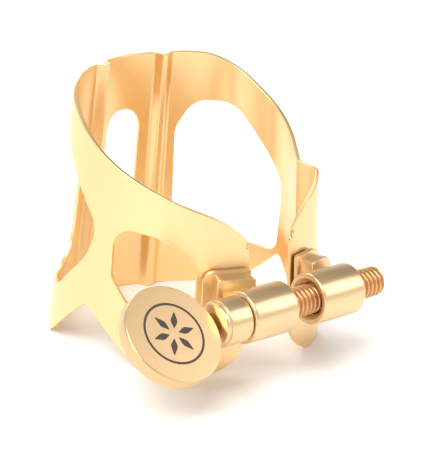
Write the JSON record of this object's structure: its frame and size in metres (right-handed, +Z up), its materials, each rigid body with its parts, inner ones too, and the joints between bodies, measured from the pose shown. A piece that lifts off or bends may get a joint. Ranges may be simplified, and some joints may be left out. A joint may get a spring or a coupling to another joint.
{
  "type": "saxophone ligature",
  "caption": "Pierced metal band ligature with reed rails and a single thumb screw that clamps a reed to a saxophone mouthpiece.",
  "frame": {"origin": "centre of the bounding box's underside, on the plane that the band's lower edge stands on", "axes": "+Z up the mouthpiece's axis towards the slanted rim's high side, +Y towards the reed rails, +X along the screw from the thumb disc to the threaded tip"},
  "size_m": [0.0368, 0.0348, 0.0278],
  "materials": {
    "band_gold": "mirror-polished gold lacquer",
    "lug_gold": "polished, faint turning marks",
    "disc_gold": "satin face with fine pores, polished rim",
    "thread_brass": "bright machined copper-toned brass"
  },
  "bodies": {
    "frame": {"band": "band_gold", "left_saddle": "lug_gold", "right_saddle": "lug_gold", "plain_lug": "lug_gold", "threaded_lug": "lug_gold"},
    "screw_carriage": {"thrust_collar": "lug_gold"},
    "thumb_screw": {"thumb_disc": "disc_gold", "screw_shank": "thread_brass"}
  },
  "joints": [
    {"name": "screw_travel", "type": "slide", "parent": "frame", "child": "screw_carriage", "axis": [1, 0, 0], "range_m": [-0.0084, 0]},
    {"name": "screw_turn", "type": "hinge", "parent": "screw_carriage", "child": "thumb_screw", "pos_m": [0.00414, -0.01299, 0.0082], "axis": [1, 0, 0], "range_deg": [-5040, 0]}
  ],
  "couplings": [
    {"joint": "screw_turn", "follows": "screw_travel", "rad_per_m": 10472}
  ]
}
